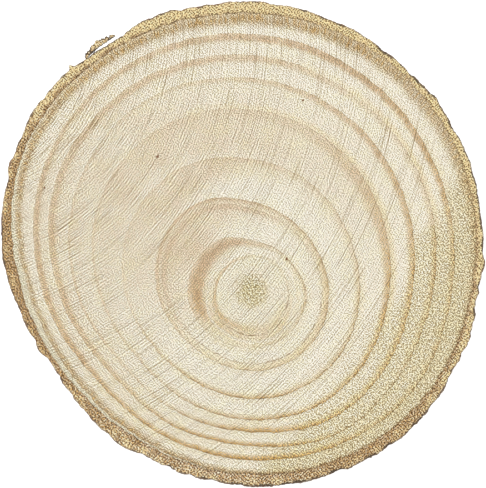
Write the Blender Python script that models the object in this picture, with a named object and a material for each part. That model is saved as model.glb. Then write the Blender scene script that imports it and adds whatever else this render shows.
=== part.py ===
# A round slice sawn across a young conifer log, with its bark grown on.
# It lies on its back face: +Z is up out of the sawn front, and the origin is under the middle of its box.
# Angles run anticlockwise from +X, seen from above, and every reach is measured from the pith.

import math

import bmesh
import bpy

MM = 0.001

# The saw cuts
THICKNESS = 10.0 * MM
ARRIS = 0.35 * MM  # the crumbled edge of the bark at both cuts

# Growth: how far from the pith each year's dark edge lies, in mm, every 30 degrees
RING_REACH_MM = (
    (7.4, 7.2, 7.2, 7.2, 7.2, 7.4, 7.7, 8.7, 8.8, 9.0, 9.0, 7.8),
    (10.8, 9.8, 9.8, 10.2, 12.0, 12.6, 12.8, 12.4, 11.8, 11.4, 11.4, 11.2),
    (15.4, 15.4, 16.2, 17.8, 20.6, 20.6, 19.0, 16.8, 15.9, 16.0, 16.0, 15.8),
    (21.6, 22.4, 24.4, 26.4, 28.4, 27.9, 25.5, 22.6, 21.4, 21.6, 21.8, 21.8),
    (27.5, 30.0, 33.4, 36.2, 37.4, 35.4, 30.8, 26.6, 25.6, 25.8, 26.4, 26.8),
    (32.1, 35.6, 39.6, 42.6, 43.6, 40.6, 35.2, 29.8, 28.4, 28.2, 30.0, 30.8),
    (36.2, 40.2, 43.8, 47.2, 47.6, 45.1, 38.7, 32.7, 31.2, 31.0, 33.2, 34.0),
    (40.0, 43.8, 48.2, 51.4, 51.6, 48.3, 41.9, 35.8, 33.9, 33.8, 35.4, 38.0),
)
RING_BAND = (0.7 * MM, 1.7 * MM, 1.0 * MM, 0.8 * MM, 1.0 * MM, 1.0 * MM, 1.1 * MM, 1.3 * MM)
RING_RISE = 0.2 * MM  # the hard dark wood stands this proud of the soft wood
RING_STEP = 0.25 * MM  # the sharp outer side of a dark band
WOOD_REACH_MM = (43.9, 49.0, 53.4, 55.5, 55.5, 53.2, 45.9, 39.8, 36.9, 36.6, 38.0, 40.6)
PITH_RADIUS = 2.4 * MM
PITH_DEPTH = 0.3 * MM

# Bark: its outer edge, in mm, every 10 degrees
BARK_REACH_MM = (
    (45.5, 47.1, 48.7, 50.6, 52.2, 53.6, 54.9, 56.2, 57.3, 58.1, 57.9, 58.4)
    + (57.3, 57.3, 56.8, 54.9, 52.9, 51.1, 48.1, 45.4, 42.9, 41.7, 41.0, 40.6)
    + (39.2, 39.2, 38.9, 39.3, 39.6, 39.9, 40.5, 41.4, 42.3, 43.0, 43.7, 44.7)
)
# Local lumps, chips and hollows of that edge: at degrees, half width in degrees, height in mm
BARK_LUMPS = (
    (7.0, 3.0, 0.5),
    (25.5, 3.0, 0.35),
    (46.5, 2.2, 0.6),
    (99.0, 1.5, 0.3),
    (106.0, 2.0, 0.2),
    (121.3, 3.2, 1.5),
    (129.0, 1.5, 0.8),
    (144.0, 3.0, -0.2),
    (153.0, 3.5, 0.35),
    (196.0, 3.0, 0.4),
    (201.0, 2.5, -0.2),
    (299.0, 2.5, 0.25),
    (339.0, 2.5, -0.45),
    (348.0, 4.0, 0.3),
    (357.0, 3.0, -0.5),
)
BARK_GROOVE = 0.12 * MM  # the hollow line where wood meets bark
FURROW_DEPTH = 0.6 * MM
FURROW_AT_CUT = 0.35  # the share of that depth left at the two cut faces
SCALES_ROUND = 41  # bark scales counted round the log
SCALE_HEIGHT = 5.5 * MM

# How finely the disc is divided, from the pith outwards
CORE_STEPS = 48
WOOD_STEPS = 96
BARK_STEPS = 192
CORE_RINGS = 3  # the rings that the core division covers
WALL_LEVELS = (0.22, 0.36, 0.5, 0.64, 0.78)  # shares of the thickness, between the two arrises

WOOD_COLOUR = (0.79, 0.66, 0.45, 1.0)


def clear_scene():
    for thing in list(bpy.data.objects):
        bpy.data.objects.remove(thing, do_unlink=True)


def around(readings, angle):
    """A smooth closed curve through readings spaced evenly round the pith, in metres."""
    place = angle / math.tau * len(readings)
    first = math.floor(place)
    t = place - first
    a, b, c, d = (readings[(first + step) % len(readings)] for step in (-1, 0, 1, 2))
    bend = (c - a) + t * (2 * a - 5 * b + 4 * c - d + t * (3 * (b - c) + d - a))
    return (b + 0.5 * t * bend) * MM


def lumps(angle):
    """What the chips and lumps of the bark add to its reach."""
    total = 0.0
    for at, half_width, height in BARK_LUMPS:
        off = (math.degrees(angle) - at + 180.0) % 360.0 - 180.0
        if abs(off) < half_width:
            total += height * MM * math.cos(0.5 * math.pi * off / half_width) ** 2
    return total


def bark_edge(angle):
    """The bark's reach, before its furrows are cut in."""
    return around(BARK_REACH_MM, angle) + lumps(angle)


def furrow(angle, height):
    """How deep the bark is split here: upright furrows between scales, and short cracks across them."""
    drift = 0.09 * math.sin(3 * angle + 1.1) + 0.05 * math.sin(7 * angle + 0.4)
    slant = 0.03 * math.sin(5 * angle + 2.0) * height / THICKNESS
    place = SCALES_ROUND * (angle + drift + slant) / math.tau
    upright = math.cos(math.pi * place) ** 6
    stagger = 2.4 * math.floor(place + 0.5)
    across = max(0.0, math.cos(math.tau * height / SCALE_HEIGHT + stagger)) ** 5
    fade = FURROW_AT_CUT + (1.0 - FURROW_AT_CUT) * math.sin(math.pi * height / THICKNESS)
    return FURROW_DEPTH * fade * max(upright, 0.6 * across)


def loop(bm, steps, reach, height):
    """One closed loop of vertices; reach(angle) is its distance from the pith."""
    angles = [math.tau * step / steps for step in range(steps)]
    return [bm.verts.new((reach(a) * math.cos(a), reach(a) * math.sin(a), height)) for a in angles]


def join(bm, inner, outer):
    """A band of faces between two loops; the outer one may have twice the vertices."""
    count = len(inner)
    double = len(outer) == 2 * count
    for i in range(count):
        a = inner[i]
        b = inner[(i + 1) % count]
        if double:
            c = outer[2 * i]
            middle = outer[2 * i + 1]
            d = outer[(2 * i + 2) % len(outer)]
            bm.faces.new((a, c, middle))
            bm.faces.new((a, middle, b))
            bm.faces.new((b, middle, d))
        else:
            c = outer[i]
            d = outer[(i + 1) % count]
            bm.faces.new((a, c, d, b))


def fan(bm, hub, rim, upward):
    count = len(rim)
    for i in range(count):
        a, b = rim[i], rim[(i + 1) % count]
        bm.faces.new((hub, a, b) if upward else (hub, b, a))


def front_loops(bm):
    """The sawn front from the pith to the bark: a hollow pith, then one raised dark band a year."""
    top = THICKNESS
    loops = [loop(bm, CORE_STEPS, lambda angle: 0.5 * PITH_RADIUS, top - PITH_DEPTH)]
    loops.append(loop(bm, CORE_STEPS, lambda angle: PITH_RADIUS, top))
    for number, readings in enumerate(RING_REACH_MM):
        steps = CORE_STEPS if number < CORE_RINGS else WOOD_STEPS
        band = RING_BAND[number]
        loops.append(loop(bm, steps, lambda angle: around(readings, angle) - band, top))
        crest = top + RING_RISE
        loops.append(loop(bm, steps, lambda angle: around(readings, angle) - 0.3 * band, crest))
        loops.append(loop(bm, steps, lambda angle: around(readings, angle) + RING_STEP, top))
    loops.append(loop(bm, WOOD_STEPS, lambda angle: around(WOOD_REACH_MM, angle) - RING_STEP, top))
    loops.append(loop(bm, BARK_STEPS, lambda angle: around(WOOD_REACH_MM, angle), top - BARK_GROOVE))
    return loops


def bark_loops(bm):
    """The bark from the front arris down its furrowed wall to the back arris."""
    levels = [ARRIS] + [share * THICKNESS for share in WALL_LEVELS] + [THICKNESS - ARRIS]
    front = loop(bm, BARK_STEPS, lambda angle: bark_edge(angle) - ARRIS, THICKNESS)
    wall = [front]
    for height in reversed(levels):
        wall.append(loop(bm, BARK_STEPS, lambda angle: bark_edge(angle) - furrow(angle, height), height))
    wall.append(loop(bm, BARK_STEPS, lambda angle: bark_edge(angle) - ARRIS - furrow(angle, 0.0), 0.0))
    return wall


def slice_mesh():
    bm = bmesh.new()
    loops = front_loops(bm) + bark_loops(bm)
    hub = bm.verts.new((0.0, 0.0, THICKNESS - PITH_DEPTH))
    back_hub = bm.verts.new((0.0, 0.0, 0.0))
    fan(bm, hub, loops[0], upward=True)
    for inner, outer in zip(loops, loops[1:]):
        join(bm, inner, outer)
    fan(bm, back_hub, loops[-1], upward=False)
    bmesh.ops.triangulate(bm, faces=bm.faces[:])
    bmesh.ops.recalc_face_normals(bm, faces=bm.faces[:])
    centre_on_box(bm)
    mesh = bpy.data.meshes.new("wood_slice")
    bm.to_mesh(mesh)
    bm.free()
    return mesh


def centre_on_box(bm):
    """Moves the disc so that the middle of its box stands over the origin."""
    middles = []
    for axis in (0, 1):
        values = [vert.co[axis] for vert in bm.verts]
        middles.append(0.5 * (min(values) + max(values)))
    bmesh.ops.translate(bm, verts=bm.verts[:], vec=(-middles[0], -middles[1], 0.0))


def wood_material():
    material = bpy.data.materials.new("wood")
    material.use_nodes = True
    shader = material.node_tree.nodes["Principled BSDF"]
    shader.inputs["Base Color"].default_value = WOOD_COLOUR
    shader.inputs["Roughness"].default_value = 0.8
    shader.inputs["Metallic"].default_value = 0.0
    return material


def make_slice():
    mesh = slice_mesh()
    mesh.materials.append(wood_material())
    thing = bpy.data.objects.new("wood_slice", mesh)
    bpy.context.scene.collection.objects.link(thing)
    return thing


clear_scene()
make_slice()
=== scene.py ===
import math

import bpy
import numpy as np
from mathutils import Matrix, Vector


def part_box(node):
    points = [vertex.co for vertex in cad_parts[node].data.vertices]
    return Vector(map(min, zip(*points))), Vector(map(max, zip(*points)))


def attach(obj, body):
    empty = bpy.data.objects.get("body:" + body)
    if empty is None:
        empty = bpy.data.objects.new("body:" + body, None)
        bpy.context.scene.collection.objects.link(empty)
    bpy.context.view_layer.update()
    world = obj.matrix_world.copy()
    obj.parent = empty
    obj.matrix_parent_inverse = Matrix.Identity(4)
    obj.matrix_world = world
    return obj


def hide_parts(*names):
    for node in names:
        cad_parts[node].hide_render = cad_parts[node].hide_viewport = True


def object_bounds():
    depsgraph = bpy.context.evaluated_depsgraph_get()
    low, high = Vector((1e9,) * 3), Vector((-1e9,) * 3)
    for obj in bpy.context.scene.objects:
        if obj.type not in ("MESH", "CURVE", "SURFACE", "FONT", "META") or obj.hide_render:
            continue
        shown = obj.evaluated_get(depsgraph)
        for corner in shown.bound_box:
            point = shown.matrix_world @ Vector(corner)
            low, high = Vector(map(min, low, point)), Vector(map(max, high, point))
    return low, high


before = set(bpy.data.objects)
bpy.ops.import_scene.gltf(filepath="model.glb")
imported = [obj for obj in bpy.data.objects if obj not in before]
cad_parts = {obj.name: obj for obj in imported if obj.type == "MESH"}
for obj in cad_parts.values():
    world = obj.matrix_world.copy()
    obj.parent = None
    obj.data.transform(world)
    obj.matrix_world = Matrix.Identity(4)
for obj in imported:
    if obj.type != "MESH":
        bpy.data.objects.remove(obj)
cadLow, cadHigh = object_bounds()
mm = 0.001
print("frame loaded")


# Growth of the log, in mm from the pith. Readings go anticlockwise from the right, evenly spaced:
# reach is the outer side of a year's dark band, band its width, dark its strength. Where a year has them,
# soft takes away its sharp outer side, inside is how far within its reach it ends (below 0, beyond it),
# inset is how far the dark part keeps back from there, line scales its thin line, and after is the tint
# at the year's start, just outside the ring before
firstReach = (7.4, 7.2, 7.2, 7.2, 7.2, 7.4, 7.7, 8.7, 8.8, 9.0, 9.0, 7.8)
thirdReach = (15.4, 15.4, 16.2, 17.8, 20.6, 20.6, 19.0, 16.8, 15.9, 16.0, 16.0, 15.8)
growth = {
    "pithRadius": 2.4,
    "pithDepth": 0.3,
    "years": [
        {"age": 1.0, "reach": firstReach, "soft": 0.6, "band": (0.5, 0.5, 0.6, 0.6, 0.8, 2.0, 2.8, 2.2),
         "dark": (0.05, 0.1, 0.2, 0.6, 0.62, 0.5, 0.35, 0.32)},
        {"age": 1.25, "reach": firstReach, "inside": -1.3, "soft": 1.0, "band": (1.6, 1.6, 1.6, 1.6),
         "dark": (0.0, 0.0, 0.0, 0.0, 0.2, 0.35, 0.22, 0.28), "line": (0.0, 0.0)},
        {"age": 2.0, "reach": (10.8, 9.8, 9.8, 10.2, 12.0, 12.6, 12.8, 12.4, 11.8, 11.4, 11.4, 11.2),
         "soft": 0.6, "band": (0.9, 1.0, 1.7, 3.6, 3.8, 3.4, 1.0, 0.8),
         "dark": (0.4, 0.1, 0.5, 0.85, 0.95, 0.24, 0.1, 0.25),
         "line": (1.1, 1.6, 1.8, 1.2, 1.0, 0.7, 0.4, 0.7)},
        {"age": 2.85, "reach": thirdReach, "inside": 1.35, "band": (1.0, 1.0, 1.3, 1.6, 1.2, 1.0, 1.0, 1.0),
         "dark": (0.0, 0.1, 0.4, 0.45, 0.3, 0.0, 0.0, 0.0)},
        {"age": 3.0, "reach": thirdReach, "band": (1.3, 1.0, 0.8, 0.8, 0.9, 0.8, 1.1, 1.8),
         "dark": (0.45, 0.35, 0.35, 0.5, 0.35, 0.25, 0.33, 0.33),
         "line": (1.1, 1.6, 1.8, 1.2, 1.0, 0.7, 0.6, 0.6)},
        {"age": 4.0, "reach": (21.6, 22.4, 24.4, 26.4, 28.4, 27.9, 25.5, 22.6, 21.4, 21.6, 21.8, 21.8),
         "band": (1.2, 1.6, 1.2, 0.8, 0.6, 0.9, 1.3, 1.3),
         "dark": (0.42, 0.2, 0.25, 0.15, 0.15, 0.48, 0.6, 0.42)},
        {"age": 5.0, "reach": (27.5, 30.0, 33.4, 36.2, 37.4, 35.4, 30.8, 26.6, 25.6, 25.8, 26.4, 26.8),
         "band": (1.6, 3.2, 2.2, 1.2, 0.7, 1.0, 1.2, 1.3),
         "dark": (0.72, 0.52, 0.25, 0.15, 0.35, 0.28, 0.6, 0.62)},
        {"age": 6.0, "reach": (32.1, 35.6, 39.6, 42.6, 43.6, 40.6, 35.2, 29.8, 28.4, 28.2, 30.0, 30.8),
         "band": (1.6, 1.7, 1.3, 0.8, 0.7, 0.9, 1.4, 1.7),
         "dark": (0.65, 0.72, 0.45, 0.15, 0.4, 0.2, 0.85, 0.58),
         "after": (1.0, 0.9, 0.75, 0.3, 0.45, 0.3, 0.6, 0.4)},
        {"age": 7.0, "reach": (36.2, 40.2, 43.8, 47.2, 47.6, 45.1, 38.7, 32.7, 31.2, 31.0, 33.2, 34.0),
         "band": (1.5, 1.4, 1.8, 2.0, 1.8, 1.2, 1.1, 1.4),
         "dark": (0.53, 0.28, 0.6, 0.55, 0.6, 0.5, 0.9, 0.12)},
        {"age": 8.0, "reach": (40.0, 43.8, 48.2, 51.4, 51.6, 48.3, 41.9, 35.8, 33.9, 33.8, 35.4, 38.0),
         "band": (1.3, 1.6, 1.9, 1.4, 1.7, 1.2, 1.3, 1.4),
         "dark": (0.42, 0.9, 0.78, 0.55, 0.75, 0.7, 1.0, 0.42),
         "after": (0.6, 1.0, 0.25, 0.2, 0.2, 0.5, 0.6, 0.9)},
        {"age": 9.0, "reach": (43.9, 49.0, 53.4, 55.5, 55.5, 53.2, 45.9, 39.8, 36.9, 36.6, 38.0, 40.6),
         "band": (1.2, 2.8, 2.8, 2.4, 1.4, 1.7, 1.0, 1.2),
         "dark": (0.5, 0.95, 1.0, 0.88, 0.85, 1.0, 0.9, 0.0),
         "inset": (0.0, 0.0, 0.0, 0.0, 1.2, 0.5, 0.0, 0.0),
         "after": (0.6, 0.5, 0.1, 0.4, 0.2, 0.8, 0.4, 0.8)},
    ],
    "solidRise": 0.2,  # how proud the dark bands stand on the solid
    "wobble": 0.2,
    "crisp": (0.9, 0.7, 0.45, 0.4, 0.4, 0.85, 1.0, 0.95),  # how sharp the bands end outwards
    "line": (0.5, 0.35, 0.25, 0.15, 0.2, 0.5, 0.7, 0.75),  # the thin darker line on that side
    "after": (0.5, 0.33, 0.2, 0.15, 0.25, 0.45, 0.45, 0.5),  # the yellow tint just outside a ring
    "afterFade": (0.2, 1.6),  # where that tint starts and ends its fading, in mm outside the ring
    "pink": (0.1, 0.5, 0.85, 0.85, 0.65, 0.2, 0.0, 0.0),  # how pink, not golden, the dark bands are
    "tan": (0.15, 0.5, 0.9, 1.0, 0.6, 0.05, 0.0, 0.0),  # how much the wood between bands tans
    "tanOuter": (0.0, 0.1, 0.1, 0.8, 0.9, 0.4, 0.0, 0.0),  # the same for the outer years
    "tanStart": (0.0, 0.4, 0.3, -0.5, -0.5, -0.4, 0.0, 0.0),  # how far into a year it begins
    "tanStartOuter": -0.4,  # the same from the fifth year on
    "tanByAge": (0.0, 0.4, 1.0, 0.75, 0.8, 0.7, 0.7, 0.7, 0.4),  # its share in each year
    "bark": (  # outer edge of the bark every 10 degrees
        (45.5, 47.1, 48.7, 50.6, 52.2, 53.6, 54.9, 56.2, 57.3, 58.1, 57.9, 58.4)
        + (57.3, 57.3, 56.8, 54.9, 52.9, 51.1, 48.1, 45.4, 42.9, 41.7, 41.0, 40.6)
        + (39.2, 39.2, 38.9, 39.3, 39.6, 39.9, 40.5, 41.4, 42.3, 43.0, 43.7, 44.7)
    ),
    "lumps": (  # chips and lumps of that edge: at degrees, half width in degrees, height
        (7.0, 3.0, 0.5), (25.5, 3.0, 0.35), (46.5, 2.2, 0.6), (99.0, 1.5, 0.3), (106.0, 2.0, 0.2),
        (129.0, 0.7, 0.8), (144.0, 3.0, -0.2), (153.0, 3.5, 0.35), (196.0, 3.0, 0.4),
        (201.0, 2.5, -0.2), (299.0, 2.5, 0.25), (339.0, 2.5, -0.45), (348.0, 4.0, 0.3), (357.0, 3.0, -0.5),
    ),
    "peelLump": (121.3, 3.2, 1.5),  # the solid's own lump where the bark peels
}

sawCut = {
    "centre": (-61.4, 43.0),  # the saw's strokes are arcs about this point
    "waveLength": 2.3,
    "waveHeight": 0.012,
    "tornFrom": 103.5,  # from here to tornTo, measured from that point, the saw tore the wood
    "tornTo": 112.0,
}


def around(readings, angle):  # smooth closed curve through readings spaced evenly round the pith
    readings = np.asarray(readings, float)
    place = np.asarray(angle, float) / math.tau * len(readings)
    first = np.floor(place).astype(int)
    t = place - first
    a, b, c, d = (readings[(first + step) % len(readings)] for step in (-1, 0, 1, 2))
    bend = (c - a) + t * (2 * a - 5 * b + 4 * c - d + t * (3 * (b - c) + d - a))
    return b + 0.5 * t * bend


def easeBetween(value, low, high):  # 0 below low, 1 above high, smooth between
    t = np.clip((value - low) / (high - low), 0.0, 1.0)
    return t * t * (3.0 - 2.0 * t)


def facing(angle, degrees, halfWidth):  # 1 towards a direction, falling to 0 at the half width
    off = (np.degrees(angle) - degrees + 180.0) % 360.0 - 180.0
    return np.cos(0.5 * math.pi * np.clip(off / halfWidth, -1.0, 1.0)) ** 2


def lumpyNoise(x, y, z, seed, cells=32):  # smooth seeded noise from 0 to 1, one cell a unit
    table = np.random.default_rng(seed).random((cells, cells, cells))
    base = [np.floor(value).astype(int) for value in (x, y, z)]
    part = [value - whole for value, whole in zip((x, y, z), base)]
    part = [t * t * (3.0 - 2.0 * t) for t in part]
    total = 0.0
    for dx in (0, 1):
        for dy in (0, 1):
            for dz in (0, 1):
                weight = 1.0
                for t, step in zip(part, (dx, dy, dz)):
                    weight = weight * (t if step else 1.0 - t)
                corner = table[(base[0] + dx) % cells, (base[1] + dy) % cells, (base[2] + dz) % cells]
                total = total + weight * corner
    return total


def roundNoise(angle, reach, cell, seed):  # noise from -0.5 to 0.5 along a closed curve
    x, y = reach * np.cos(angle) / cell, reach * np.sin(angle) / cell
    return lumpyNoise(x + 500.0, y + 500.0, 0.0 * x, seed) - 0.5


def yearEdge(year, angle):
    reach = around(year["reach"], angle) - year.get("inside", 0.0)
    wobble = roundNoise(angle, reach, 1.6, 11) + 0.6 * roundNoise(angle, reach, 0.7, 12)
    return reach + growth["wobble"] * wobble * (2.0 if year is growth["years"][-1] else 1.0)


def barkEdge(angle, lumps=growth["lumps"]):
    reach = around(growth["bark"], angle)
    for at, halfWidth, height in lumps:
        reach = reach + height * facing(angle, at, halfWidth)
    return reach


def findPith():  # the pith's place, from the CAD box and the outline's own box
    low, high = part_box("wood_slice")
    angle = np.linspace(0.0, math.tau, 1440, endpoint=False)
    edge = barkEdge(angle, growth["lumps"] + (growth["peelLump"],))
    xs, ys = edge * np.cos(angle), edge * np.sin(angle)
    middle = ((low + high) * 0.5) / mm
    return middle.x - 0.5 * (xs.min() + xs.max()), middle.y - 0.5 * (ys.min() + ys.max())


pithX, pithY = findPith()
frontZ = cadHigh.z / mm - growth["solidRise"]  # the soft wood's level, below the proud dark bands
print("pith at", round(pithX, 2), round(pithY, 2), "mm, front at", round(frontZ, 2), "mm")


# Meshes are chains of closed loops round the pith
def makeLoop(steps, reach, height, **values):
    angle = np.arange(steps) * math.tau / steps
    loop = {"angle": angle, "reach": reach(angle) + 0.0 * angle, "height": height + 0.0 * angle}
    for name, value in values.items():
        loop[name] = value + 0.0 * angle
    return loop


def weaveFaces(loops, closed=False):  # faces between following loops, whose counts may double or halve
    starts = np.cumsum([0] + [len(loop["angle"]) for loop in loops])
    pairs = list(zip(range(len(loops) - 1), range(1, len(loops))))
    if closed:
        pairs.append((len(loops) - 1, 0))
    faces = []
    for first, second in pairs:
        n, m = len(loops[first]["angle"]), len(loops[second]["angle"])
        i = np.arange(min(n, m))
        if n == m:
            a, b = starts[first] + i, starts[first] + (i + 1) % n
            c, d = starts[second] + i, starts[second] + (i + 1) % m
            faces += np.stack([a, c, d, b], 1).tolist()
        elif m == 2 * n:
            a, b = starts[first] + i, starts[first] + (i + 1) % n
            c, e, d = (starts[second] + (2 * i + step) % m for step in (0, 1, 2))
            faces += np.concatenate([np.stack(t, 1) for t in ((a, c, e), (a, e, b), (b, e, d))]).tolist()
        else:
            a, e, b = (starts[first] + (2 * i + step) % n for step in (0, 1, 2))
            c, d = starts[second] + i, starts[second] + (i + 1) % m
            faces += np.concatenate([np.stack(t, 1) for t in ((a, c, e), (e, c, d), (e, d, b))]).tolist()
    return faces


def loopPoints(loops):
    keys = ("angle", "reach", "height")
    angle, reach, height = (np.concatenate([loop[key] for loop in loops]) for key in keys)
    return pithX + reach * np.cos(angle), pithY + reach * np.sin(angle), height


def newPiece(name, points, faces):
    mesh = bpy.data.meshes.new(name)
    mesh.from_pydata(points, [], faces)
    mesh.validate()
    mesh.shade_smooth()
    piece = bpy.data.objects.new(name, mesh)
    bpy.context.scene.collection.objects.link(piece)
    return piece


def storeValues(piece, values):  # named numbers on the vertices, read by the materials
    for name, numbers in values.items():
        attribute = piece.data.attributes.new(name, "FLOAT", "POINT")
        attribute.data.foreach_set("value", np.asarray(numbers, np.float32))


# The sawn wood, front and back
woodCut = {
    "frontSpacing": 0.42,  # between loops, in mm
    "backSpacing": 0.8,
    "frontSteps": (120, 240, 240, 240, 240, 480, 480, 480, 960, 960, 960),  # divisions round, by band
    "backSteps": (60, 120, 120, 120, 120, 240, 240, 240, 480, 480, 480),
    "backRise": 0.1,  # the back's soft wood lies this far in from its dark bands
    "bandRise": 0.16,
    "edgeStep": 0.14,
    "underBark": 0.15,
    "groove": 0.12,
}
woodValues = ("toEdge", "after", "band", "dark", "crisp", "line", "pink", "tan", "ripe", "age", "torn")


def lateShare(toEdge, band, crisp):  # the dark band's strength, sharp outwards or soft
    s = toEdge / band
    sharp = 0.88 * np.clip(1.0 - s, 0.0, 1.0) ** 0.8
    soft = np.exp(-(((s - 0.45) / 0.38) ** 2))
    return (crisp * sharp + (1.0 - crisp) * soft) * easeBetween(toEdge, -0.4, 0.05)


def yearLoops(spacing, stepsByBand):
    loops = []
    inner = lambda angle: growth["pithRadius"] + 0.0 * angle
    lastAge = 0.0
    for number, year in enumerate(growth["years"]):
        angle = np.arange(stepsByBand[number]) * math.tau / stepsByBand[number]
        start, edge = inner(angle) + woodCut["edgeStep"], yearEdge(year, angle)
        inset = around(year.get("inset", (0.0, 0.0, 0.0, 0.0)), angle)
        names = ("crisp", "line", "pink")
        constant = {name: np.clip(around(growth[name], angle), 0.0, 1.0) for name in names}
        constant["crisp"] = constant["crisp"] * (1.0 - year.get("soft", 0.0))
        constant["line"] = constant["line"] * around(year.get("line", (1.0, 1.0)), angle)
        afterEdge = np.clip(around(year.get("after", growth["after"]), angle), 0.0, 1.0)
        constant["band"] = np.maximum(around(year["band"], angle), 0.3)
        constant["dark"] = np.clip(around(year["dark"], angle), 0.0, 1.0)
        tanInner, tanOuter = (np.clip(around(growth[name], angle), 0.0, 1.0) for name in ("tan", "tanOuter"))
        tanStart = around(growth["tanStart"], angle)
        count = max(3, round(float((edge - start).mean()) / spacing))
        for index in range(count + 1):
            share = 1.0 - (1.0 - index / count) ** 1.15
            age = lastAge + share * (year["age"] - lastAge)
            whole = min(int(lastAge + 1e-6), len(growth["tanByAge"]) - 1)
            begin = tanStart if whole < 4 else growth["tanStartOuter"]
            tan = tanInner + easeBetween(age, 4.0, 6.5) * (tanOuter - tanInner)
            tan = tan * growth["tanByAge"][whole] * easeBetween(age - whole - begin, 0.0, 0.8)
            reach = start + share * (edge - start)
            loops.append(dict(
                constant, angle=angle, reach=reach, height=0.0 * angle, tan=tan,
                after=afterEdge * (1.0 - easeBetween(reach - start, *growth["afterFade"])),
                age=age + 0.0 * angle, ripe=age - whole + 0.0 * angle, toEdge=edge - inset - reach,
            ))
        inner = lambda angle, year=year: yearEdge(year, angle)
        lastAge = year["age"]
    return loops


def pithLoops(steps, count):
    plain = dict(
        toEdge=9.0, after=0.0, band=0.5, dark=0.0, crisp=1.0,
        line=0.0, pink=0.0, tan=0.0, ripe=0.0, age=0.0,
    )
    shares = [(index + 1) / (count + 1) for index in range(count)]
    return [makeLoop(steps, lambda angle: share * growth["pithRadius"], 0.0, **plain) for share in shares]


def sawWave(x, y):  # shallow waves that the saw's strokes left, in mm
    far = np.hypot(x - sawCut["centre"][0], y - sawCut["centre"][1])
    drift = 2.5 * lumpyNoise(x / 14.0 + 40.0, y / 14.0 + 40.0, 0.0 * x, 3)
    patch = 0.3 + 0.7 * lumpyNoise(x / 11.0 + 40.0, y / 11.0 + 40.0, 0.0 * x, 4)
    wave = np.sin(math.tau * far / sawCut["waveLength"] + drift)
    wave += 0.6 * np.sin(math.tau * far / (0.61 * sawCut["waveLength"]) + 2.0 * drift)
    return sawCut["waveHeight"] * patch * wave


def tornShare(x, y):
    far = np.hypot(x - sawCut["centre"][0], y - sawCut["centre"][1])
    drift = 7.0 * (lumpyNoise(x / 9.0 + 60.0, y / 9.0 + 60.0, 0.0 * x, 8) - 0.5)
    drift = drift + 4.0 * (lumpyNoise(x / 3.5 + 60.0, y / 3.5 + 60.0, 0.0 * x, 9) - 0.5)
    return easeBetween(far + drift, sawCut["tornFrom"], sawCut["tornTo"])


def shapeFront(loops):
    for loop in loops:
        late = lateShare(loop["toEdge"], loop["band"], loop["crisp"])
        rise = woodCut["bandRise"] * loop["dark"] ** 0.5 * late
        x, y, height = loopPoints([loop])
        grain = lumpyNoise(x * 1.6 + 90.0, y * 1.6 + 90.0, 0.0 * x, 5) - 0.5
        grit = lumpyNoise(x * 2.4 + 190.0, y * 2.4 + 190.0, 0.0 * x, 6) - 0.5
        inPith = easeBetween(growth["pithRadius"] - loop["reach"], 0.0, 1.0)
        loop["torn"] = tornShare(x, y)
        loop["height"] = frontZ + rise + sawWave(x, y) + 0.03 * grain + 0.14 * loop["torn"] * grit
        loop["height"] = loop["height"] - inPith * (growth["pithDepth"] + 0.25 * grit)


def shapeBack(loops):
    for loop in loops:
        late = lateShare(loop["toEdge"], loop["band"], loop["crisp"])
        loop["height"] = woodCut["backRise"] * (1.0 - loop["dark"] * late)
        loop["torn"] = 0.0 * loop["angle"]


def tuckUnderBark(loop, height):  # a last loop that runs on a little inside the bark
    return dict(loop, reach=loop["reach"] + woodCut["underBark"], height=0.0 * loop["height"] + height)


def capMiddle(points, faces, loop, start, height, upward):  # closes a chain's end with a fan of faces
    count = len(loop["angle"])
    points.append((pithX * mm, pithY * mm, height * mm))
    hub = len(points) - 1
    for i in range(count):
        a, b = start + i, start + (i + 1) % count
        faces.append([hub, a, b] if upward else [hub, b, a])


def makeWood():
    front = pithLoops(woodCut["frontSteps"][0], 5) + yearLoops(woodCut["frontSpacing"], woodCut["frontSteps"])
    back = pithLoops(woodCut["backSteps"][0], 2) + yearLoops(woodCut["backSpacing"], woodCut["backSteps"])
    shapeFront(front)
    shapeBack(back)
    front[-1]["height"] = front[-1]["height"] - 0.5 * woodCut["groove"]
    front.append(tuckUnderBark(front[-1], frontZ - woodCut["groove"] - 0.1))
    back.append(tuckUnderBark(back[-1], 2.0 * woodCut["backRise"]))
    loops = front + back[::-1]
    faces = weaveFaces(loops)
    points = (np.stack(loopPoints(loops), 1) * mm).tolist()
    lastStart = len(points) - len(loops[-1]["angle"])
    capMiddle(points, faces, loops[0], 0, frontZ - growth["pithDepth"], True)
    capMiddle(points, faces, loops[-1], lastStart, woodCut["backRise"], False)
    piece = newPiece("sawn_wood", points, faces)
    hubs = {name: [loops[0][name][0], loops[-1][name][0]] for name in woodValues}
    storeValues(piece, {
        name: np.concatenate([loop[name] for loop in loops] + [hubs[name]]) for name in woodValues
    })
    return piece


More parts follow.
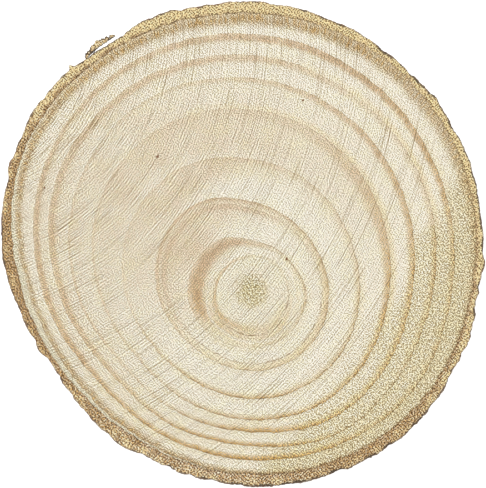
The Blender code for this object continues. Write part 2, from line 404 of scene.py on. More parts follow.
# The bark ring, with its cut edges and its flaky outer wall
barkSkin = {
    "steps": 1280,
    "cutLoops": 10,
    "wallLoops": 40,
    "arris": 0.3,
    "girth": 304.0,
    "furrowDepth": 0.55,
    "furrowsRound": 41,
    "furrowTall": 5.5,
    "fadeAtCut": 0.4,
    "flakes": (  # width, height, share of the wall that they cover, thickness
        (6.5, 4.2, 0.6, 0.28), (3.4, 2.3, 0.55, 0.2), (1.7, 1.2, 0.5, 0.12),
    ),
    "grit": 0.12,
    "gold": (0.75, 1.35, 1.4, 1.2, 0.85, 0.4, 0.0, 0.2, 0.25, 0.2, 0.0, 0.45),  # every 30 degrees
    "pale": (0.4, 0.7, 0.9, 0.8, 0.5, 0.1, -0.2, 0.2, 0.6, 0.65, 0.15, 0.25),
    "seam": (0.1, 0.1, 0.1, 0.6, 0.65, 0.1, 0.0, 0.05, 0.4, 0.5, 0.3, 0.1),
    "crust": (0.15, 0.36, 0.34, 0.15, 0.2, 0.1, 0.2, 0.12, 0.15, 0.45, 0.42, 0.25),  # thickness, in mm
}
sawnBarkValues = ("fromWood", "toRim", "gold", "pale", "seam", "crust")
barkValues = sawnBarkValues + ("cut", "lift", "tone")


def plateCells(along, up, width, tall, seed):  # which plate a point is on, as seeded numbers of that plate
    rng = np.random.default_rng(seed)
    columns, rows = round(barkSkin["girth"] / width), 16
    shift, drop, chance, lift = (rng.random((columns, rows)) for _ in range(4))
    bend = lumpyNoise(along / 1.3 + 50.0, up / 1.3 + 50.0, 0.0 * up + seed, 21) - 0.5
    sway = lumpyNoise(along / 1.3 + 80.0, up / 1.3 + 80.0, 0.0 * up + seed, 22) - 0.5
    u = along / barkSkin["girth"] * columns + 0.55 * bend
    v = up / tall + 2.0 + 0.55 * sway
    nearest = np.full(len(u), 1e9)
    found = [np.zeros(len(u)) for _ in range(4)]
    for dc in (-1, 0, 1):
        for dr in (-1, 0, 1):
            column, row = np.floor(u).astype(int) + dc, np.floor(v).astype(int) + dr
            c, r = column % columns, row % rows
            du = u - (column + 0.5 + 0.8 * (shift[c, r] - 0.5))
            dv = v - (row + 0.5 + 0.8 * (drop[c, r] - 0.5))
            far = np.hypot(du, dv)
            closer = far < nearest
            nearest = np.where(closer, far, nearest)
            here = (chance[c, r], lift[c, r], du, dv)
            found = [np.where(closer, new, old) for new, old in zip(here, found)]
    return found


def furrow(angle, height):  # the same splits between scales as in the solid
    drift = 0.09 * np.sin(3 * angle + 1.1) + 0.05 * np.sin(7 * angle + 0.4)
    slant = 0.03 * np.sin(5 * angle + 2.0) * height / frontZ
    place = barkSkin["furrowsRound"] * (angle + drift + slant) / math.tau
    upright = np.cos(math.pi * place) ** 6
    stagger = 2.4 * np.floor(place + 0.5)
    across = np.maximum(0.0, np.cos(math.tau * height / barkSkin["furrowTall"] + stagger)) ** 5
    return np.maximum(upright, 0.6 * across)


def barkRelief(angle, height):  # how far the wall stands back from the outline, and each point's tone
    along = angle / math.tau * barkSkin["girth"]
    depth = barkSkin["furrowDepth"] * furrow(angle, height)
    tone = 0.45 + 0.0 * angle
    for number, (width, tall, cover, thick) in enumerate(barkSkin["flakes"]):
        chance, lift, du, dv = plateCells(along, height, width, tall, 60 + number)
        there = (chance < cover).astype(float)
        depth = depth + thick * (1.0 - there * (0.7 + 0.3 * lift + 0.5 * dv * (lift - 0.3)))
        tone = tone + there * (lift - 0.4) * (0.5 - 0.1 * number)
    return depth, np.clip(tone, 0.0, 1.0)


def barkLoops():
    steps, arris = barkSkin["steps"], barkSkin["arris"]
    wood = lambda angle: yearEdge(growth["years"][-1], angle)
    loops = []
    for index in range(barkSkin["cutLoops"]):
        share = index / (barkSkin["cutLoops"] - 1)
        loops.append(makeLoop(steps, wood, frontZ, share=share, cut=1.0))
    for index in range(barkSkin["wallLoops"]):
        height = frontZ - arris - (frontZ - 2.0 * arris) * index / (barkSkin["wallLoops"] - 1)
        loops.append(makeLoop(steps, wood, height, share=1.0, cut=0.0))
    for index in range(4):
        loops.append(makeLoop(steps, wood, 0.0, share=1.0 - index / 3.0, cut=1.0))
    return loops


def shapeBark(loop):
    angle, height, wood = loop["angle"], loop["height"], loop["reach"]
    depth, tone = barkRelief(angle, height)
    middle = np.sin(math.pi * np.clip(height / frontZ, 0.0, 1.0))
    fade = barkSkin["fadeAtCut"] + (1.0 - barkSkin["fadeAtCut"]) * middle
    edge = barkEdge(angle)
    across, up = edge * np.cos(angle) * 2.6 + 300.0, edge * np.sin(angle) * 2.6 + 300.0
    grit = lumpyNoise(across, up, height * 2.6, 31) - 0.5
    rim = edge + 0.12 - fade * depth + 0.25 * grit
    loop["reach"] = wood + loop["share"] * (rim - barkSkin["arris"] * loop["cut"] - wood)
    x, y, height = loopPoints([loop])
    grain = lumpyNoise(x * 2.2 + 200.0, y * 2.2 + 200.0, 0.0 * x, 32) - 0.5
    loop["fromWood"] = loop["reach"] - wood
    loop["toRim"] = rim - loop["reach"]
    isFront = (loop["cut"] > 0.5) & (height > 0.5 * frontZ)
    dip = woodCut["groove"] * (1.0 - easeBetween(loop["fromWood"], 0.0, 0.4))
    loop["height"] = np.where(isFront, height + barkSkin["grit"] * grain - dip, height)
    loop["lift"] = np.clip(1.0 - depth, 0.0, 1.0)
    loop["tone"] = tone
    for name in ("gold", "pale", "seam"):
        loop[name] = around(barkSkin[name], angle)
    loop["crust"] = np.maximum(around(barkSkin["crust"], angle), 0.02)


def makeBark():
    loops = barkLoops()
    for loop in loops:
        shapeBark(loop)
    piece = newPiece("bark", (np.stack(loopPoints(loops), 1) * mm).tolist(), weaveFaces(loops, closed=True))
    storeValues(piece, {name: np.concatenate([loop[name] for loop in loops]) for name in barkValues})
    return piece


# A long flake of bark that peels away at the upper left
peel = {
    "from": 125.6,  # degrees: still held here
    "to": 118.2,  # and free here
    "gap": 0.42,
    "thick": 1.1,
    "tall": 5.5,
    "steps": 40,
    "across": 6,
}


def peelSection(t, rough):  # one slice through the flake: reach, height and cut of its points
    angle = math.radians(peel["from"] + t * (peel["to"] - peel["from"]))
    edge = float(barkEdge(np.array([angle]))[0])
    body = 0.15 + 0.85 * math.sin(math.pi * min(t * 0.92 + 0.06, 1.0)) ** 0.7
    inside = edge - 0.2 + (0.2 + peel["gap"]) * min(1.0, 2.2 * t) + 0.08 * rough[0]
    outside = inside + peel["thick"] * body * (1.0 + 0.25 * rough[1]) + 0.12 * rough[2]
    high = frontZ - 0.05
    low = high - peel["tall"] * body + 0.3 * rough[3]
    count = peel["across"]
    profile = [(inside + k / count * (outside - inside), high, 1.0) for k in range(count + 1)]
    profile += [(outside + 0.06, high - 0.25 - k / count * (high - low - 0.5), 0.0) for k in range(count)]
    profile += [(outside - 0.1, low, 0.0), (inside + 0.05, low + 0.1, 0.0), (inside - 0.05, high - 0.3, 0.0)]
    return angle, inside, outside, profile


def makePeel():
    steps = peel["steps"]
    rough = np.random.default_rng(5).uniform(-1.0, 1.0, (steps, 4))
    points, values = [], {name: [] for name in barkValues}
    plain = {"fromWood": 2.0, "lift": 0.8, "tone": 0.6, "gold": 0.35, "pale": 0.6, "seam": 0.0, "crust": 0.2}
    for index in range(steps):
        angle, inside, outside, profile = peelSection(index / (steps - 1), rough[index])
        for reach, height, cut in profile:
            x = pithX + reach * math.cos(angle)
            y = pithY + reach * math.sin(angle)
            points.append((x * mm, y * mm, height * mm))
            found = dict(plain, cut=cut, toRim=max(0.0, min(outside - reach, reach - inside)))
            for name in barkValues:
                values[name].append(found[name])
    width = len(points) // steps
    faces = [tuple(range(width)), tuple((steps - 1) * width + i for i in reversed(range(width)))]
    for row in range(steps - 1):
        for i in range(width):
            a, b = row * width + i, row * width + (i + 1) % width
            faces.append((a, a + width, b + width, b))
    piece = newPiece("bark_flake", points, faces)
    storeValues(piece, values)
    return piece


# Short ways to place shader nodes
def feed(tree, socket, value):
    if isinstance(value, bpy.types.NodeSocket):
        tree.links.new(value, socket)
    else:
        socket.default_value = value


def calc(tree, operation, *values, clamp=False):
    node = tree.nodes.new("ShaderNodeMath")
    node.operation = operation
    node.use_clamp = clamp
    for socket, value in zip(node.inputs, values):
        feed(tree, socket, value)
    return node.outputs[0]


def addUp(tree, *values):
    total = values[0]
    for value in values[1:]:
        total = calc(tree, "ADD", total, value)
    return total


def vectorCalc(tree, operation, *values, output=0):
    node = tree.nodes.new("ShaderNodeVectorMath")
    node.operation = operation
    for socket, value in zip(node.inputs, values):
        feed(tree, socket, value)
    return node.outputs[output]


def scaled(tree, vector, scale):
    node = tree.nodes.new("ShaderNodeVectorMath")
    node.operation = "SCALE"
    feed(tree, node.inputs["Vector"], vector)
    feed(tree, node.inputs["Scale"], scale)
    return node.outputs[0]


def remap(tree, value, low, high, toLow=0.0, toHigh=1.0, smooth=False):
    node = tree.nodes.new("ShaderNodeMapRange")
    node.interpolation_type = "SMOOTHSTEP" if smooth else "LINEAR"
    names = ("Value", "From Min", "From Max", "To Min", "To Max")
    for name, number in zip(names, (value, low, high, toLow, toHigh)):
        feed(tree, node.inputs[name], number)
    return node.outputs["Result"]


def blendColours(tree, factor, first, second, mode="MIX"):
    node = tree.nodes.new("ShaderNodeMix")
    node.data_type = "RGBA"
    node.blend_type = mode
    for index, value in ((0, factor), (6, first), (7, second)):
        feed(tree, node.inputs[index], value)
    return node.outputs[2]


def noiseAt(tree, vector, scale, detail=2.0, roughness=0.5, dimensions="3D"):
    node = tree.nodes.new("ShaderNodeTexNoise")
    node.noise_dimensions = dimensions
    feed(tree, node.inputs["Vector"], vector)
    for name, value in (("Scale", scale), ("Detail", detail), ("Roughness", roughness)):
        feed(tree, node.inputs[name], value)
    return node.outputs["Fac"]


def joinXyz(tree, x, y, z):
    node = tree.nodes.new("ShaderNodeCombineXYZ")
    for socket, value in zip(node.inputs, (x, y, z)):
        feed(tree, socket, value)
    return node.outputs[0]


def splitXyz(tree, vector):
    node = tree.nodes.new("ShaderNodeSeparateXYZ")
    feed(tree, node.inputs[0], vector)
    return node.outputs


def swingOf(tree, value, amount):  # a 0 to 1 value as a swing round 0
    return calc(tree, "MULTIPLY", calc(tree, "SUBTRACT", value, 0.5), amount)


def distanceFrom(tree, flat, x, y):
    return vectorCalc(tree, "LENGTH", vectorCalc(tree, "SUBTRACT", flat, (x, y, 0.0)), output=1)


def spreadNodes(tree):  # lays the nodes out in rows, to be read in the editor
    for number, node in enumerate(tree.nodes):
        node.location = (220 * (number % 8), -280 * (number // 8))


def newGroup(name, inputs, outputs):
    tree = bpy.data.node_groups.new(name, "ShaderNodeTree")
    for label, kind, value in inputs:
        socket = tree.interface.new_socket(name=label, in_out="INPUT", socket_type=kind)
        if value is not None:
            socket.default_value = value
    for label, kind in outputs:
        tree.interface.new_socket(name=label, in_out="OUTPUT", socket_type=kind)
    return tree, tree.nodes.new("NodeGroupInput").outputs, tree.nodes.new("NodeGroupOutput").inputs


def placeGroup(tree, group, **values):
    node = tree.nodes.new("ShaderNodeGroup")
    node.node_tree = group
    for name, value in values.items():
        feed(tree, node.inputs[name], value)
    return node.outputs


# Shader groups; their sizes are in mm
def sawMarksGroup():
    tree, given, result = newGroup(
        "sawMarks",
        [("Vector", "NodeSocketVector", None), ("Spacing", "NodeSocketFloat", 0.3)],
        [("Lines", "NodeSocketFloat"), ("Scratches", "NodeSocketFloat")],
    )
    flat = vectorCalc(tree, "MULTIPLY", given["Vector"], (1000.0, 1000.0, 0.0))
    off = vectorCalc(tree, "SUBTRACT", flat, (sawCut["centre"][0], sawCut["centre"][1], 0.0))
    far = vectorCalc(tree, "LENGTH", off, output=1)
    parts = splitXyz(tree, off)
    bearing = calc(tree, "ARCTAN2", parts[1], parts[0])
    patch = remap(tree, noiseAt(tree, flat, 0.07, 1.0), 0.35, 0.65, 0.5, 1.0)

    def alongStroke(width, length, shift=0.0):  # noise drawn out along the strokes
        lane = calc(tree, "MULTIPLY_ADD", far, 1.0 / width, shift)
        along = calc(tree, "MULTIPLY", bearing, length)
        return noiseAt(tree, joinXyz(tree, lane, along, 0.0), 1.0, 0.0, dimensions="2D")

    drift = alongStroke(2.9, 6.0)
    turns = calc(tree, "MULTIPLY_ADD", drift, 12.0, calc(tree, "DIVIDE", far, given["Spacing"]))
    wave = calc(tree, "SINE", turns)
    breaks = calc(tree, "MULTIPLY", remap(tree, alongStroke(0.9, 14.0, 20.0), 0.35, 0.6, 0.15, 0.5), patch)
    feed(tree, result["Lines"], calc(tree, "MULTIPLY_ADD", wave, breaks, 0.5))
    scratch = calc(tree, "SUBTRACT", alongStroke(0.3, 6.5, 37.0), alongStroke(0.3, 6.5, 38.0))
    feed(tree, result["Scratches"], calc(tree, "MULTIPLY", remap(tree, scratch, 0.28, 0.45), patch))
    spreadNodes(tree)
    return tree


def specksGroup(name, dimensions):  # 2D for the sawn faces, 3D for the bark's wall
    tree, given, result = newGroup(
        name,
        [("Vector", "NodeSocketVector", None), ("Size", "NodeSocketFloat", 0.3)],
        [("Value", "NodeSocketFloat"), ("Fine", "NodeSocketFloat")],
    )
    spot = scaled(tree, given["Vector"], calc(tree, "DIVIDE", 1000.0, given["Size"]))
    middle = noiseAt(tree, spot, 1.0, 0.0, dimensions=dimensions)
    sides = [
        noiseAt(tree, vectorCalc(tree, "ADD", spot, step), 1.0, 0.0, dimensions=dimensions)
        for step in ((0.9, 0.0, 0.0), (0.0, 0.9, 0.9))
    ]
    beside = calc(tree, "MULTIPLY", addUp(tree, *sides), 0.5)
    fine = calc(tree, "SUBTRACT", middle, beside)  # keeps only the fine part
    feed(tree, result["Fine"], calc(tree, "MULTIPLY_ADD", fine, 2.0, 0.5))
    feed(tree, result["Value"], remap(tree, middle, 0.2, 0.8))
    spreadNodes(tree)
    return tree


def raysGroup():
    tree, given, result = newGroup(
        "rays",
        [
            ("Vector", "NodeSocketVector", None),
            ("Count", "NodeSocketFloat", 110.0),
            ("Length", "NodeSocketFloat", 1.8),
        ],
        [("Value", "NodeSocketFloat")],
    )
    flat = vectorCalc(tree, "MULTIPLY", given["Vector"], (1000.0, 1000.0, 0.0))
    off = vectorCalc(tree, "SUBTRACT", flat, (pithX, pithY, 0.0))
    far = vectorCalc(tree, "LENGTH", off, output=1)
    bearing = scaled(tree, vectorCalc(tree, "NORMALIZE", off), given["Count"])
    outward = joinXyz(tree, 0.0, 0.0, calc(tree, "DIVIDE", far, given["Length"]))
    place = vectorCalc(tree, "ADD", bearing, outward)
    feed(tree, result["Value"], remap(tree, noiseAt(tree, place, 1.0, 1.0, 0.5), 0.3, 0.7))
    spreadNodes(tree)
    return tree


def blotchGroup():
    tree, given, result = newGroup(
        "blotches",
        [("Vector", "NodeSocketVector", None), ("Size", "NodeSocketFloat", 8.0)],
        [("Value", "NodeSocketFloat")],
    )
    spot = scaled(tree, given["Vector"], 1000.0)
    noise = noiseAt(tree, spot, calc(tree, "DIVIDE", 1.0, given["Size"]), 3.0, 0.55)
    feed(tree, result["Value"], remap(tree, noise, 0.3, 0.7, smooth=True))
    spreadNodes(tree)
    return tree


groups = {
    "sawMarks": sawMarksGroup(),
    "faceSpecks": specksGroup("faceSpecks", "2D"),
    "wallSpecks": specksGroup("wallSpecks", "3D"),
    "rays": raysGroup(),
    "blotches": blotchGroup(),
}
print("shader groups built")


def newMaterial(name):
    material = bpy.data.materials.new(name)
    material.use_nodes = True
    tree = material.node_tree
    tree.nodes.clear()
    shader = tree.nodes.new("ShaderNodeBsdfPrincipled")
    output = tree.nodes.new("ShaderNodeOutputMaterial")
    tree.links.new(shader.outputs[0], output.inputs["Surface"])
    place = tree.nodes.new("ShaderNodeTexCoord").outputs["Object"]
    return material, tree, shader, place


def stored(tree, name):  # a number kept on the mesh's vertices
    node = tree.nodes.new("ShaderNodeAttribute")
    node.attribute_name = name
    return node.outputs["Fac"]


def bumpFrom(tree, height, strength, distance):
    node = tree.nodes.new("ShaderNodeBump")
    feed(tree, node.inputs["Height"], height)
    node.inputs["Strength"].default_value = strength
    node.inputs["Distance"].default_value = distance
    return node.outputs[0]


def speckle(tree, colour, swing, darkTint, cap):  # swing below 0 darkens towards a tint, above 0 lightens
    dark = calc(tree, "MULTIPLY", swing, -1.0, clamp=True)
    colour = blendColours(tree, dark, colour, darkTint, "MULTIPLY")
    lift = calc(tree, "MULTIPLY_ADD", calc(tree, "MAXIMUM", swing, 0.0), 0.32, 1.0)
    return blendColours(tree, 1.0, blendColours(tree, 1.0, colour, lift, "MULTIPLY"), cap, "DARKEN")


woodLook = {
    "pale": (0.88, 0.835, 0.735, 1.0),
    "cream": (0.85, 0.79, 0.645, 1.0),
    "tan": (0.685, 0.57, 0.43, 1.0),
    "goldBrown": (0.42, 0.245, 0.065, 1.0),
    "pinkBrown": (0.46, 0.33, 0.225, 1.0),
    "thinLine": (0.27, 0.165, 0.065, 1.0),
    "fringe": (0.38, 0.25, 0.105, 1.0),
    "strip": (0.68, 0.63, 0.48, 1.0),
    "sand": (0.73, 0.62, 0.39, 1.0),
    "rimTint": (0.84, 0.82, 0.77, 1.0),
    "pith": (0.60, 0.50, 0.29, 1.0),
    "afterRing": (0.94, 0.86, 0.69, 1.0),
    "darkTint": (0.48, 0.43, 0.31, 1.0),
    "yellowTint": (1.0, 0.985, 0.88, 1.0),
    "pinkTint": (1.0, 0.96, 0.935, 1.0),
    "lightest": (0.97, 0.955, 0.88, 1.0),
    "scratch": (0.45, 0.36, 0.23, 1.0),
    "dot": (0.18, 0.07, 0.02, 1.0),
    "dots": ((-17.0, 17.5, 0.3), (12.0, 28.7, 0.2), (8.8, -3.0, 0.3), (-39.7, 11.3, 0.25)),  # x, y, radius
    "speckSize": 0.25,
    "gritSize": 0.34,
    "speckSwing": 2.1,
    "gritSwing": 3.9,
    "sawSpacing": 0.075,  # mm for one radian of the wave, so its lines are 0.47 mm apart
    "sawSwing": 1.8,
    "raySwing": 0.7,
    "roughLeft": 1.5,  # the cut is rougher at the left than at the right
    "roughRight": 0.65,
}


def bandMask(tree, toEdge, band, crisp):  # the same curve as lateShare
    s = calc(tree, "DIVIDE", toEdge, band)
    sharp = calc(tree, "MULTIPLY", calc(tree, "POWER", calc(tree, "SUBTRACT", 1.0, s, clamp=True), 0.8), 0.88)
    off = calc(tree, "DIVIDE", calc(tree, "SUBTRACT", s, 0.45), 0.38)
    soft = calc(tree, "EXPONENT", calc(tree, "MULTIPLY", calc(tree, "MULTIPLY", off, off), -1.0))
    node = tree.nodes.new("ShaderNodeMix")
    for index, value in ((0, crisp), (2, soft), (3, sharp)):
        feed(tree, node.inputs[index], value)
    return calc(tree, "MULTIPLY", node.outputs[0], remap(tree, toEdge, -0.4, 0.05))


def woodMaterial():
    look = woodLook
    material, tree, shader, place = newMaterial("sawn softwood")
    found = [stored(tree, name) for name in woodValues]
    toEdge, after, band, dark, crisp, line, pink, tan, ripe, age, torn = found
    saw = placeGroup(tree, groups["sawMarks"], Vector=place, Spacing=look["sawSpacing"])
    specks = placeGroup(tree, groups["faceSpecks"], Vector=place, Size=look["speckSize"])["Fine"]
    grit = placeGroup(tree, groups["faceSpecks"], Vector=place, Size=look["gritSize"])["Value"]
    rays = placeGroup(tree, groups["rays"], Vector=place)["Value"]
    fineRays = placeGroup(tree, groups["rays"], Vector=place, Count=230.0)["Value"]
    blotch = placeGroup(tree, groups["blotches"], Vector=place, Size=9.0)["Value"]
    smallBlotch = placeGroup(tree, groups["blotches"], Vector=place, Size=1.4)["Value"]
    hue = placeGroup(tree, groups["blotches"], Vector=place, Size=3.1)["Value"]
    flat = vectorCalc(tree, "MULTIPLY", place, (1000.0, 1000.0, 0.0))
    outer = remap(tree, age, 5.0, 8.6)

    # soft wood: yellowish just outside a ring, then pale, then cream, and tan up and left of the pith
    colour = blendColours(tree, ripe, look["pale"], look["cream"])
    colour = blendColours(tree, after, colour, look["afterRing"], "MULTIPLY")
    tanNow = calc(tree, "MULTIPLY", tan, calc(tree, "MULTIPLY_ADD", blotch, 0.5, 0.65), clamp=True)
    colour = blendColours(tree, tanNow, colour, look["tan"])
    hue = addUp(tree, hue, swingOf(tree, grit, 1.2))
    colour = blendColours(tree, remap(tree, hue, 0.5, 1.0), colour, look["yellowTint"], "MULTIPLY")
    colour = blendColours(tree, remap(tree, hue, 0.5, 0.0), colour, look["pinkTint"], "MULTIPLY")

    # the torn, sandy part where the saw left the log
    sandy = calc(tree, "MULTIPLY", torn, remap(tree, smallBlotch, 0.0, 1.0, 0.5, 0.8))
    colour = blendColours(tree, sandy, colour, look["sand"])
    colour = blendColours(tree, calc(tree, "MULTIPLY", torn, outer), colour, look["rimTint"], "MULTIPLY")

    # dark late wood, uneven along its length, with a thin line on its outer side
    uneven = addUp(tree, swingOf(tree, smallBlotch, 0.5), swingOf(tree, specks, 1.4), 1.05)
    streaks = addUp(tree, swingOf(tree, rays, 0.5), swingOf(tree, fineRays, 0.9), 1.0)
    isFringe = remap(tree, age, 8.25, 8.5)
    node = tree.nodes.new("ShaderNodeMix")
    for index, value in ((0, isFringe), (2, uneven), (3, streaks)):
        feed(tree, node.inputs[index], value)
    late = calc(tree, "MULTIPLY", bandMask(tree, toEdge, band, crisp), dark)
    late = calc(tree, "MULTIPLY", late, node.outputs[0], clamp=True)
    ringColour = blendColours(tree, pink, look["goldBrown"], look["pinkBrown"])
    ringColour = blendColours(tree, isFringe, ringColour, look["fringe"])
    colour = blendColours(tree, late, colour, ringColour)
    roughEdge = calc(tree, "ADD", toEdge, swingOf(tree, grit, 0.3))
    thin = calc(tree, "MULTIPLY", remap(tree, roughEdge, 0.35, 0.1), remap(tree, toEdge, -0.15, 0.0))
    broken = calc(tree, "MULTIPLY", line, remap(tree, smallBlotch, 0.25, 0.6, 0.3, 1.0))
    thin = calc(tree, "MULTIPLY", thin, broken)
    colour = blendColours(tree, thin, colour, look["thinLine"])
    colour = blendColours(tree, remap(tree, toEdge, 0.0, -0.3), colour, look["strip"])

    # the pith, ragged and fading into the first year
    raggedness = addUp(tree, swingOf(tree, smallBlotch, 0.9), swingOf(tree, grit, 0.9))
    pithFar = calc(tree, "ADD", distanceFrom(tree, flat, pithX, pithY), raggedness)
    pith = addUp(tree, remap(tree, pithFar, 3.4, 1.8, 0.0, 0.65), remap(tree, pithFar, 8.5, 2.5, 0.0, 0.3))
    colour = blendColours(tree, pith, colour, look["pith"])

    # fine light and dark of cut fibres, saw lines and rays
    coarse = addUp(tree, torn, remap(tree, pithFar, 3.2, 1.9, 0.0, 1.9))
    smooth = calc(tree, "SUBTRACT", 1.0, calc(tree, "MULTIPLY", coarse, 0.75), clamp=True)
    rough = remap(tree, splitXyz(tree, flat)[0], -40.0, 40.0, look["roughLeft"], look["roughRight"])
    speckAmount = addUp(tree, calc(tree, "MULTIPLY", coarse, 1.2), calc(tree, "MULTIPLY", late, 1.3), rough)
    rayAmount = addUp(tree, outer, calc(tree, "MULTIPLY", calc(tree, "MULTIPLY", outer, late), 2.2))
    sawAmount = calc(tree, "MULTIPLY", smooth, rough)
    swing = addUp(
        tree,
        calc(tree, "MULTIPLY", swingOf(tree, specks, look["speckSwing"]), speckAmount),
        calc(tree, "MULTIPLY", swingOf(tree, grit, look["gritSwing"]), coarse),
        calc(tree, "MULTIPLY", swingOf(tree, saw["Lines"], look["sawSwing"]), sawAmount),
        calc(tree, "MULTIPLY", swingOf(tree, fineRays, look["raySwing"]), rayAmount),
    )
    colour = speckle(tree, colour, swing, look["darkTint"], look["lightest"])
    scratch = calc(tree, "MULTIPLY", calc(tree, "MULTIPLY", saw["Scratches"], smooth), 0.8)
    colour = blendColours(tree, scratch, colour, look["scratch"], "MULTIPLY")

    spots = 0.0
    for x, y, radius in look["dots"]:
        far = calc(tree, "ADD", distanceFrom(tree, flat, x, y), swingOf(tree, grit, 0.25))
        spots = calc(tree, "MAXIMUM", spots, remap(tree, far, 1.3 * radius, 0.6 * radius))
    colour = blendColours(tree, spots, colour, look["dot"])

    height = addUp(
        tree,
        calc(tree, "MULTIPLY", saw["Lines"], 0.5),
        calc(tree, "MULTIPLY", specks, 0.4),
        calc(tree, "MULTIPLY", calc(tree, "MULTIPLY", coarse, grit), 0.9),
    )
    feed(tree, shader.inputs["Base Color"], colour)
    feed(tree, shader.inputs["Roughness"], remap(tree, specks, 0.0, 1.0, 0.68, 0.88))
    feed(tree, shader.inputs["Normal"], bumpFrom(tree, height, 0.6, 0.00012))
    shader.inputs["Specular IOR Level"].default_value = 0.25
    spreadNodes(tree)
    return material


barkLook = {
    "gold": (0.79, 0.62, 0.325, 1.0),
    "brown": (0.38, 0.25, 0.125, 1.0),
    "pinkGrey": (0.50, 0.36, 0.235, 1.0),
    "orange": (0.52, 0.31, 0.11, 1.0),
    "cream": (0.86, 0.77, 0.56, 1.0),
    "darkTint": (0.26, 0.19, 0.12, 1.0),
    "light": (0.94, 0.88, 0.70, 1.0),
    "seam": (0.16, 0.10, 0.05, 1.0),
    "crust": (0.075, 0.055, 0.036, 1.0),
    "scale": (0.27, 0.21, 0.155, 1.0),
    "scaleRed": (0.25, 0.125, 0.065, 1.0),
    "scaleGrey": (0.40, 0.36, 0.30, 1.0),
    # painted shade for the deepest splits in the bark's wall
    "deep": (0.085, 0.045, 0.025, 1.0),
    "wallTint": (0.35, 0.3, 0.25, 1.0),
    "speckSwing": 3.0,
}


def sawnBark(tree, specks, fleck, grit, rays, blotch):  # gold outside, brown inside, with a dark crust
    look = barkLook
    fromWood, toRim, gold, pale, seam, crust = (stored(tree, name) for name in sawnBarkValues)
    outward = remap(tree, fromWood, 0.4, 1.0, -0.5, 0.15)
    goldness = remap(tree, addUp(tree, gold, outward, swingOf(tree, blotch, 0.7)), 0.2, 0.8)
    paleness = remap(tree, addUp(tree, pale, swingOf(tree, blotch, 0.7)), 0.3, 0.8)
    colour = blendColours(tree, paleness, look["brown"], look["pinkGrey"])
    colour = blendColours(tree, goldness, colour, look["gold"])
    orangeFlecks = remap(tree, fleck, 0.55, 0.8, 0.0, 0.9)
    orangeFlecks = calc(tree, "MULTIPLY", orangeFlecks, remap(tree, gold, 0.8, 0.2, 0.3, 1.0))
    colour = blendColours(tree, orangeFlecks, colour, look["orange"])
    creamFlecks = remap(tree, grit, 0.55, 0.8, 0.0, 0.9)
    creamFlecks = calc(tree, "MULTIPLY", creamFlecks, remap(tree, pale, 0.0, 0.6, 0.3, 0.9))
    creamFlecks = calc(tree, "MULTIPLY", creamFlecks, remap(tree, gold, 0.5, 0.9, 1.0, 0.35))
    colour = blendColours(tree, creamFlecks, colour, look["cream"])
    dashes = remap(tree, calc(tree, "ADD", fromWood, swingOf(tree, rays, 0.5)), 0.45, 0.1, 0.0, 1.0)
    colour = blendColours(tree, calc(tree, "MULTIPLY", dashes, seam), colour, look["seam"])
    grainy = swingOf(tree, specks, look["speckSwing"])
    grainy = calc(tree, "MULTIPLY", grainy, remap(tree, gold, 0.3, 0.8, 1.0, 0.7))
    swing = calc(tree, "ADD", grainy, swingOf(tree, rays, 0.5))
    colour = speckle(tree, colour, swing, look["darkTint"], look["light"])
    ragged = addUp(tree, toRim, swingOf(tree, blotch, 0.55), swingOf(tree, grit, 0.15))
    edge = calc(tree, "DIVIDE", ragged, crust)
    return blendColours(tree, remap(tree, edge, 1.2, 0.6, 0.0, 0.9), colour, look["crust"])


def barkWall(tree, specks, grit, blotch):  # grey-brown flakes and red-brown scars, with painted shade darkening the deep splits
    look = barkLook
    lift, tone = stored(tree, "lift"), stored(tree, "tone")
    colour = blendColours(tree, remap(tree, tone, 0.2, 0.7), look["scaleRed"], look["scale"])
    weathered = addUp(tree, blotch, swingOf(tree, grit, 0.6), swingOf(tree, lift, 0.5))
    grey = remap(tree, weathered, 0.55, 1.1, 0.0, 0.75)
    colour = blendColours(tree, grey, colour, look["scaleGrey"])
    # painted shade: the deepest parts of the splits between the scales are darkened nearly to black
    colour = blendColours(tree, remap(tree, lift, 0.55, 0.1), colour, look["deep"])
    swing = addUp(tree, swingOf(tree, specks, 0.9), swingOf(tree, grit, 0.6))
    return speckle(tree, colour, swing, look["wallTint"], look["scaleGrey"])


def barkMaterial():
    material, tree, shader, place = newMaterial("flaky bark")
    specks = placeGroup(tree, groups["faceSpecks"], Vector=place, Size=0.3)["Fine"]
    fleck, faceGrit = (
        placeGroup(tree, groups["faceSpecks"], Vector=place, Size=size)["Value"] for size in (0.37, 0.34)
    )
    wallSpecks, grit = (
        placeGroup(tree, groups["wallSpecks"], Vector=place, Size=size)["Value"] for size in (0.3, 0.5)
    )
    rays = placeGroup(tree, groups["rays"], Vector=place, Count=130.0, Length=1.2)["Value"]
    blotch = placeGroup(tree, groups["blotches"], Vector=place, Size=2.6)["Value"]
    sawn = sawnBark(tree, specks, fleck, faceGrit, rays, blotch)
    wall = barkWall(tree, wallSpecks, grit, blotch)
    colour = blendColours(tree, stored(tree, "cut"), wall, sawn)
    height = calc(tree, "ADD", calc(tree, "MULTIPLY", grit, 0.6), calc(tree, "MULTIPLY", specks, 0.4))
    feed(tree, shader.inputs["Base Color"], colour)
    feed(tree, shader.inputs["Roughness"], remap(tree, grit, 0.0, 1.0, 0.75, 0.95))
    feed(tree, shader.inputs["Normal"], bumpFrom(tree, height, 0.8, 0.0002))
    shader.inputs["Specular IOR Level"].default_value = 0.2
    spreadNodes(tree)
    return material


stage = {
    "floorSize": 3.0,
    "floorColour": (0.85, 0.85, 0.85, 1.0),
    "floorGlow": 0.7,
    "skyStrength": 0.81,
    "keyPower": 9.8,
    "keySize": 0.9,
    "keyPlace": (-0.7, 0.75, 1.3),
    "lens": 500.0,
    "sensor": 36.0,
    "mmPerPixel": 0.2,
    "imageSize": (486, 488),
    "pithPixel": (252.0, 291.0),  # where the photo has the pith
}


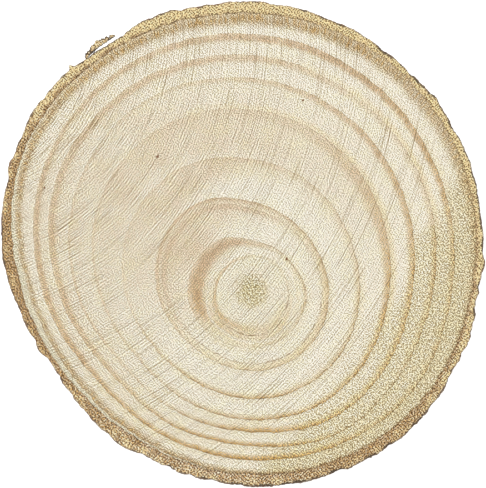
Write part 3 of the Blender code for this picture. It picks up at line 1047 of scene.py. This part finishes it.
def makeFloor():
    half = 0.5 * stage["floorSize"]
    mesh = bpy.data.meshes.new("floor")
    corners = [(-half, -half, 0.0), (half, -half, 0.0), (half, half, 0.0), (-half, half, 0.0)]
    mesh.from_pydata(corners, [], [(0, 1, 2, 3)])
    floor = bpy.data.objects.new("floor", mesh)
    bpy.context.scene.collection.objects.link(floor)
    material = bpy.data.materials.new("pale floor")
    material.use_nodes = True
    shader = material.node_tree.nodes["Principled BSDF"]
    shader.inputs["Base Color"].default_value = stage["floorColour"]
    shader.inputs["Roughness"].default_value = 0.9
    shader.inputs["Emission Color"].default_value = (1.0, 1.0, 1.0, 1.0)
    shader.inputs["Emission Strength"].default_value = stage["floorGlow"]
    mesh.materials.append(material)


def makeLight():
    world = bpy.data.worlds.new("studio")
    world.use_nodes = True
    background = world.node_tree.nodes["Background"]
    background.inputs["Color"].default_value = (1.0, 1.0, 1.0, 1.0)
    background.inputs["Strength"].default_value = stage["skyStrength"]
    bpy.context.scene.world = world
    lamp = bpy.data.lights.new("softbox", "AREA")
    lamp.energy = stage["keyPower"]
    lamp.size = stage["keySize"]
    key = bpy.data.objects.new("softbox", lamp)
    key.location = stage["keyPlace"]
    key.rotation_euler = (-key.location).to_track_quat("-Z", "Y").to_euler()
    key.visible_camera = False
    bpy.context.scene.collection.objects.link(key)


def makeCamera():  # looks straight down, with the pith where the photo has it
    width, height = stage["imageSize"]
    data = bpy.data.cameras.new("camera")
    data.lens = stage["lens"]
    data.sensor_width = stage["sensor"]
    data.clip_end = 10.0
    camera = bpy.data.objects.new("camera", data)
    bpy.context.scene.collection.objects.link(camera)
    span = max(width, height) * stage["mmPerPixel"] * mm
    far = stage["lens"] * span / stage["sensor"]
    x = pithX + (0.5 * width - stage["pithPixel"][0]) * stage["mmPerPixel"]
    y = pithY + (stage["pithPixel"][1] - 0.5 * height) * stage["mmPerPixel"]
    camera.location = (x * mm, y * mm, frontZ * mm + far)
    bpy.context.scene.camera = camera
    bpy.context.scene.view_settings.view_transform = "Standard"


makeCamera()
makeLight()
makeFloor()
print("camera, light and floor placed")

wood = makeWood()
wood.data.materials.append(woodMaterial())
print("sawn wood:", len(wood.data.polygons), "faces")
bark = makeBark()
barkFinish = barkMaterial()
bark.data.materials.append(barkFinish)
print("bark:", len(bark.data.polygons), "faces")
flake = makePeel()
flake.data.materials.append(barkFinish)
print("bark flake:", len(flake.data.polygons), "faces")

for piece in (wood, bark, flake):
    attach(piece, "root")
    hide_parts("wood_slice")
